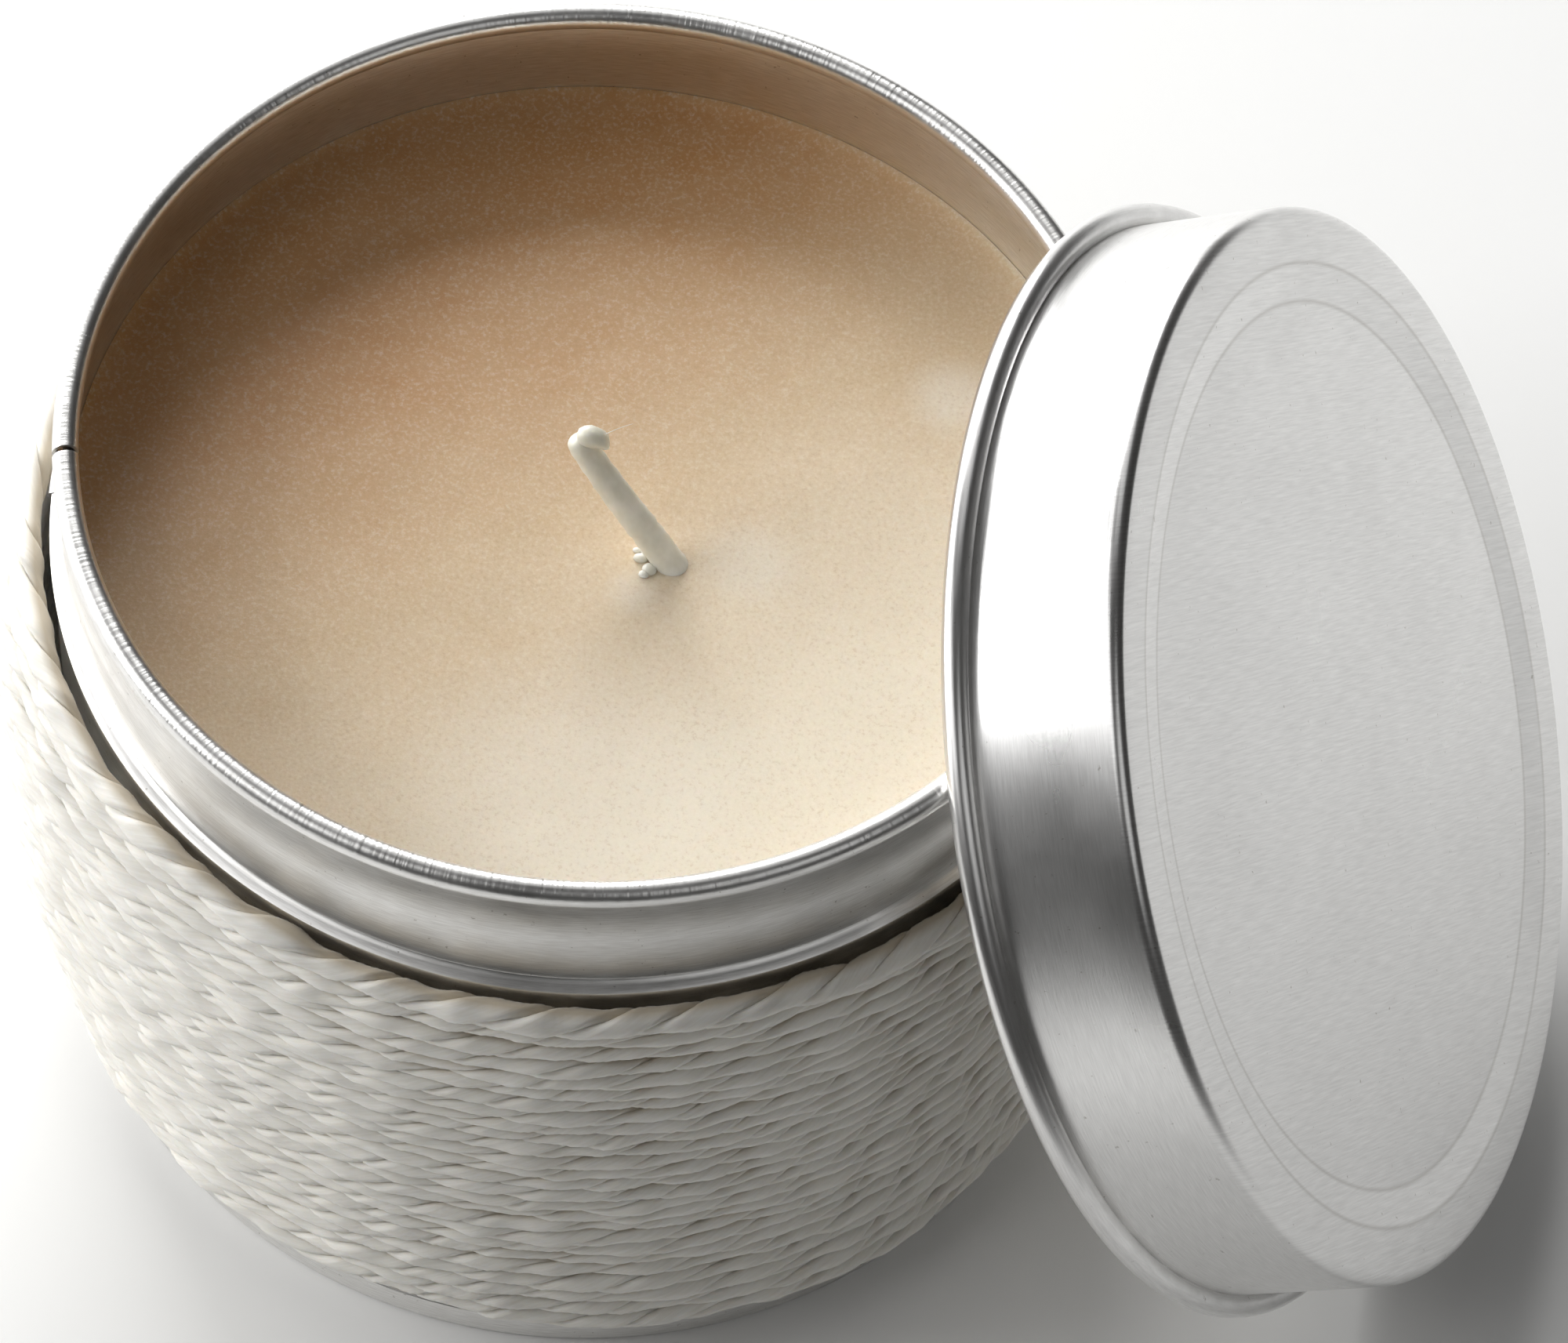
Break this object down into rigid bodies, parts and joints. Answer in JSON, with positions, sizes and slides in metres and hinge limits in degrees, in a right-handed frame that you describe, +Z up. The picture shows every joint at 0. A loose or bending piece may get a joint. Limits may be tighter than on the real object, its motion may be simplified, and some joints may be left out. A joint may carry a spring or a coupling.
{
  "type": "candle tin",
  "caption": "Round seamed candle tin wound with twisted cord, filled with wax and one wick, its slip lid off and leaning on the rim.",
  "frame": {"origin": "centre of the tin's foot ring, on the table", "axes": "+Z up along the tin's axis; +X towards the side where the lid leans"},
  "size_m": [0.117, 0.0826, 0.0763],
  "materials": {
    "tinplate": "satin tinplate",
    "cotton_cord": "undyed twisted cotton",
    "wax": "satin cast wax",
    "wick_cotton": "wax-coated braid",
    "tab_steel": "satin",
    "sticker_foam": "matt foam",
    "lid_tinplate": "finely scratched satin tinplate"
  },
  "bodies": {
    "tin": {"tin_body": "tinplate", "tin_base": "tinplate", "cord_wrap": "cotton_cord", "wax_fill": "wax", "wick": "wick_cotton", "wick_tab": "tab_steel", "wick_sticker": "sticker_foam"},
    "lid": {"lid": "lid_tinplate"}
  },
  "joints": [
    {"name": "lid_lift", "type": "slide", "parent": "tin", "child": "lid", "axis": [0, 0, 1], "range_m": [0, 0.07]}
  ]
}
